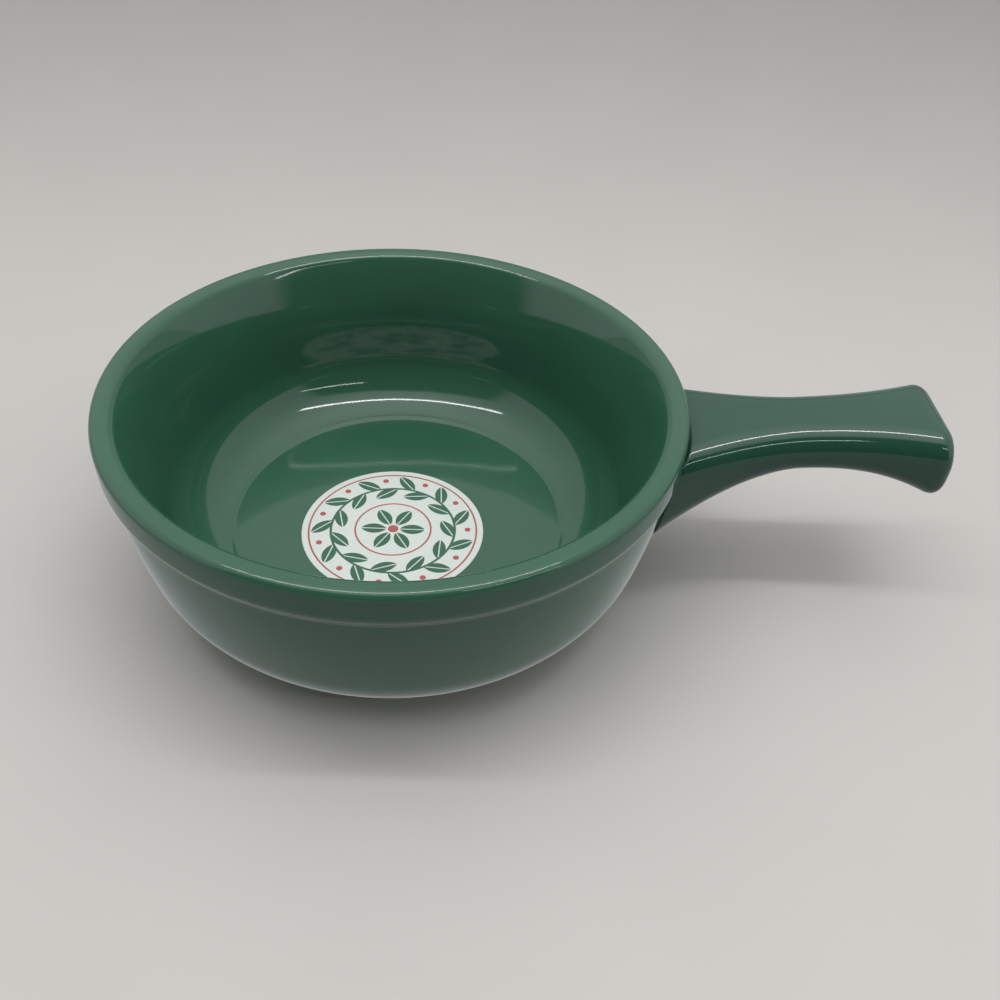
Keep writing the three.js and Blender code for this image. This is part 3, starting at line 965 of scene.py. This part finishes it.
def dot_pattern(radius, thickness, material):
    """A round dot at the origin, with a narrow ring of faces round its top."""
    dot = open_mesh(
        "dot_pattern", bpy.ops.mesh.primitive_circle_add, vertices=DOT_STEPS, radius=radius,
        fill_type="NGON",
    )
    bpy.ops.mesh.extrude_region_move(TRANSFORM_OT_translate={"value": (0, 0, thickness)})
    bpy.ops.mesh.inset(thickness=thickness)
    close_mesh(dot, [material])
    return dot


def on_transfer(turn, reach, tilt, height):
    """A place on the transfer: turned round its middle, moved out and then tilted."""
    middle = Matrix.Translation((TRANSFER_CENTRE.x, TRANSFER_CENTRE.y, height))
    out = Matrix.Translation((reach, 0, 0))
    return middle @ Matrix.Rotation(turn, 4, "Z") @ out @ Matrix.Rotation(tilt, 4, "Z")


class SOUPBOWL_OT_floor_transfer(bpy.types.Operator):
    """Prints the transfer on the floor: a white round with lines, a leaf garland and a rosette"""

    bl_idname = "soupbowl.floor_transfer"
    bl_label = "Floor Transfer"

    def execute(self, context):
        settings = context.scene.soup_bowl
        sizes = settings.transfer
        finish = settings.finish
        gloss = finish.print_roughness
        white = print_material(
            "fired_print_white", finish.print_white, finish.print_white_thin, gloss
        )
        green = print_material(
            "fired_print_green", finish.print_green, finish.print_green_thin, gloss
        )
        red = print_material("fired_print_red", finish.print_red, finish.print_red_thin, gloss)
        self.ground(sizes, [white, red, green])
        height = FLOOR_TOP + sizes.film
        leaf = leaf_pattern(sizes.leaf_length, sizes.leaf_width, sizes.leaf_vein, sizes.ink, green)
        leaves = place_copies("transfer_garland_leaves", leaf, self.leaf_places(sizes, height))
        petal = leaf_pattern(sizes.petal_length, sizes.petal_width, sizes.leaf_vein, sizes.ink, green)
        turns = [step * math.tau / sizes.petals for step in range(sizes.petals)]
        petals = place_copies(
            "transfer_rosette_petals", petal,
            [on_transfer(turn, sizes.petal_start, 0, height) for turn in turns],
        )
        berry = dot_pattern(sizes.berry, sizes.ink, red)
        berries = place_copies("transfer_garland_berries", berry, self.berry_places(sizes, height))
        heart = dot_pattern(sizes.heart, sizes.ink, red)
        hearts = place_copies("transfer_rosette_heart", heart, [on_transfer(0, 0, 0, height)])
        for printed in (leaves, petals, berries, hearts):
            settle(printed, "fired_transfer_print")
        return {"FINISHED"}

    def ground(self, sizes, materials):
        """The white round, with its lines and vine inset in its face as rings of ink."""
        red_ink, green_ink = 1, 2
        ground = open_mesh(
            "transfer_ground", bpy.ops.mesh.primitive_circle_add, vertices=DISC_STEPS,
            radius=TRANSFER_RADIUS, fill_type="NGON",
            location=(TRANSFER_CENTRE.x, TRANSFER_CENTRE.y, FLOOR_TOP),
        )
        bpy.ops.mesh.extrude_region_move(TRANSFORM_OT_translate={"value": (0, 0, sizes.film)})
        rings = [
            (sizes.outer_line, sizes.line_width, red_ink),
            (sizes.vine, sizes.vine_width, green_ink),
            (sizes.inner_line, sizes.line_width, red_ink),
        ]
        edge = TRANSFER_RADIUS
        for middle, width, _ in rings:
            for side in (middle + width / 2, middle - width / 2):
                bpy.ops.mesh.inset(thickness=edge - side)
                edge = side
        close_mesh(ground, materials)
        for face in ground.data.polygons:
            away = (face.center.xy - TRANSFER_CENTRE.xy).length
            for middle, width, ink in rings:
                if abs(away - middle) < width / 2:
                    face.material_index = ink
        settle(ground, "fired_transfer_print", "floor_transfer")

    def leaf_places(self, sizes, height):
        """Two leaves at each step round the vine, one leaning out and one leaning in."""
        step = math.tau / sizes.leaf_pairs
        places = []
        for pair in range(sizes.leaf_pairs):
            for side in (1, -1):
                turn = (pair + sizes.leaf_stagger * side) * step
                tilt = math.pi / 2 - side * sizes.leaf_tilt
                places.append(on_transfer(turn, sizes.vine, tilt, height))
        return places

    def berry_places(self, sizes, height):
        """A berry outside the vine at each step, between the leaves."""
        step = math.tau / sizes.leaf_pairs
        reach = sizes.vine + sizes.leaf_width
        turns = [(pair + sizes.berry_shift) * step for pair in range(sizes.leaf_pairs)]
        return [on_transfer(turn, reach, 0, height) for turn in turns]


class SOUPBOWL_OT_stage(bpy.types.Operator):
    """Sets the bowl on pale paper, under soft studio light, before the camera"""

    bl_idname = "soupbowl.stage"
    bl_label = "Stage"

    def execute(self, context):
        stage = context.scene.soup_bowl.stage
        self.paper(stage)
        self.world(context.scene, stage)
        self.strips(stage)
        self.camera(context.scene, stage)
        context.scene.view_settings.view_transform = "Standard"
        return {"FINISHED"}

    def paper(self, stage):
        """A sheet of paper that lies under the bowl and sweeps up behind it."""
        reach = 3.0
        height = stage.paper_height
        sheet = open_mesh("studio_paper", bpy.ops.mesh.primitive_plane_add, size=2 * reach)
        bpy.ops.transform.translate(value=(0, stage.paper_back - reach, 0))
        select_vertices(lambda place: place.y > 0)
        bpy.ops.mesh.extrude_edges_move(TRANSFORM_OT_translate={"value": (0, 0, height)})
        select_vertices(lambda place: place.y > 0 and place.z < height / 2)
        bpy.ops.mesh.bevel(affect="EDGES", offset=stage.paper_curve, segments=PAPER_STEPS)
        matt = paper_material(
            "matt_studio_paper", stage.paper, stage.paper_bounce, stage.paper_mirrored,
            stage.paper_evenness,
        )
        close_mesh(sheet, [matt])
        # An open sheet has no outside, so its upper side may have been turned down
        if sum(face.normal.z for face in sheet.data.polygons) < 0:
            sheet.data.flip_normals()

    def world(self, scene, stage):
        """Soft light of a white tent: bright above, pale behind and beside, dim at its open front."""
        world = bpy.data.worlds.new("white_tent")
        scene.world = world
        world.use_nodes = True
        tree = world.node_tree
        tree.nodes.clear()
        way = add_node(tree, "ShaderNodeTexCoord").outputs["Generated"]
        parts = add_node(tree, "ShaderNodeSeparateXYZ", None, {"Vector": way})
        # The open front is a turn to either side of straight ahead, under the roof's front edge
        across = add_node(
            tree, "ShaderNodeMath", {"operation": "ABSOLUTE"}, {0: parts.outputs["X"]}
        ).outputs["Value"]
        ahead = add_node(
            tree, "ShaderNodeMath", {"operation": "SUBTRACT"}, {0: 0.0, 1: parts.outputs["Y"]}
        ).outputs["Value"]
        turn = add_node(
            tree, "ShaderNodeMath", {"operation": "ARCTAN2"}, {0: across, 1: ahead}
        ).outputs["Value"]
        beside = add_node(
            tree, "ShaderNodeMapRange", {"interpolation_type": "SMOOTHSTEP"},
            {
                "Value": turn, "From Min": stage.opening - stage.edge,
                "From Max": stage.opening + stage.edge,
            },
        ).outputs["Result"]
        roof_facing = (0, math.sin(stage.front_edge), math.cos(stage.front_edge))
        roof_height = add_node(
            tree, "ShaderNodeVectorMath", {"operation": "DOT_PRODUCT"}, {0: way, 1: roof_facing}
        ).outputs["Value"]
        roof_edge = math.sin(stage.edge / 2)
        under = add_node(
            tree, "ShaderNodeMapRange", {"interpolation_type": "SMOOTHSTEP"},
            {"Value": roof_height, "From Min": -roof_edge, "From Max": roof_edge},
        ).outputs["Result"]
        covered = add_node(
            tree, "ShaderNodeMath", {"operation": "MAXIMUM"}, {0: beside, 1: under}
        ).outputs["Value"]
        # The cloth glows most overhead, and near the table more at its sides than at its back
        height = add_node(
            tree, "ShaderNodeMath", {"operation": "POWER"}, {0: parts.outputs["Z"], 1: stage.focus}
        ).outputs["Value"]
        aside = add_node(
            tree, "ShaderNodeMath", {"operation": "MULTIPLY"}, {0: across, 1: across}
        ).outputs["Value"]
        low = add_node(
            tree, "ShaderNodeMapRange", None,
            {"Value": aside, "To Min": stage.back, "To Max": stage.sides},
        ).outputs["Result"]
        cloth = add_node(
            tree, "ShaderNodeMix", {"data_type": "FLOAT"},
            {"Factor": height, "A": low, "B": stage.overhead},
        ).outputs["Result"]
        level = add_node(
            tree, "ShaderNodeMix", {"data_type": "FLOAT"},
            {"Factor": covered, "A": stage.front, "B": cloth},
        ).outputs["Result"]
        by_camera = add_node(tree, "ShaderNodeLightPath").outputs["Is Camera Ray"]
        seen = add_node(
            tree, "ShaderNodeMix", {"data_type": "FLOAT"},
            {"Factor": by_camera, "A": level, "B": stage.background},
        ).outputs["Result"]
        glow = add_node(
            tree, "ShaderNodeBackground", None, {"Color": stage.tent, "Strength": seen}
        )
        add_node(tree, "ShaderNodeOutputWorld", None, {"Surface": glow.outputs["Background"]})

    def strips(self, stage):
        """Two long thin lamps across the bowl, one overhead and one in front."""
        rim = Vector((AXIS_X, 0, RIM_TOP))
        for name, aside in (("top_strip", 0), ("front_strip", stage.front_strip_aside)):
            rise = getattr(stage, name)
            away = Vector((0, -math.cos(rise), math.sin(rise)))
            place = rim + away * stage.strip_distance + Vector((aside, 0, 0))
            bpy.ops.object.light_add(type="AREA", location=place)
            lamp = bpy.context.active_object
            lamp.name = name
            lamp.rotation_euler = away.to_track_quat("Z", "Y").to_euler()
            lamp.data.shape = "RECTANGLE"
            lamp.data.size = getattr(stage, name + "_length")
            lamp.data.size_y = getattr(stage, name + "_width")
            lamp.data.energy = getattr(stage, name + "_power")

    def camera(self, scene, stage):
        """The camera, at the photograph's viewing angle."""
        film_width = 36.0
        nearest_view = 5 * MM
        bpy.ops.object.camera_add()
        camera = bpy.context.active_object
        camera.name = "camera"
        camera.data.sensor_width = film_width
        camera.data.lens = stage.camera_lens
        camera.data.clip_start = nearest_view
        place = Matrix.Translation((stage.camera_x, stage.camera_y, stage.camera_z))
        turn = Matrix.Rotation(stage.camera_turn, 4, "Z")
        pitch = Matrix.Rotation(math.pi / 2 - stage.camera_pitch, 4, "X")
        roll = Matrix.Rotation(stage.camera_roll, 4, "Z")
        camera.matrix_world = place @ turn @ pitch @ roll
        scene.camera = camera


class SOUPBOWL_PT_pieces(bpy.types.Panel):
    """Lists the pieces and their settings"""

    bl_idname = "SOUPBOWL_PT_pieces"
    bl_label = "Soup Bowl"
    bl_space_type = "VIEW_3D"
    bl_region_type = "UI"
    bl_category = "Soup Bowl"

    def draw(self, context):
        settings = context.scene.soup_bowl
        for operator in OPERATORS:
            self.layout.operator(operator.bl_idname)
        for group in SoupBowlSettings.__annotations__:
            box = self.layout.box()
            values = getattr(settings, group)
            for name in type(values).__annotations__:
                box.prop(values, name)


OPERATORS = (
    SOUPBOWL_OT_bowl_body,
    SOUPBOWL_OT_handle,
    SOUPBOWL_OT_slip_joint,
    SOUPBOWL_OT_floor_transfer,
    SOUPBOWL_OT_stage,
)

CLASSES = (
    BowlSizes,
    HandleSizes,
    TransferSizes,
    FinishColours,
    StageSettings,
    SoupBowlSettings,
    *OPERATORS,
    SOUPBOWL_PT_pieces,
)


def register():
    """Registers the classes and hangs the settings on the scene."""
    for item in CLASSES:
        bpy.utils.register_class(item)
    bpy.types.Scene.soup_bowl = bpy.props.PointerProperty(type=SoupBowlSettings)


def unregister():
    """Takes the settings and the classes away again."""
    del bpy.types.Scene.soup_bowl
    for item in reversed(CLASSES):
        bpy.utils.unregister_class(item)


def main():
    """Registers the add-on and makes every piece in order."""
    register()
    bpy.ops.soupbowl.bowl_body()
    bpy.ops.soupbowl.handle()
    bpy.ops.soupbowl.slip_joint()
    bpy.ops.soupbowl.floor_transfer()
    bpy.ops.soupbowl.stage()


if __name__ == "__main__":
    main()
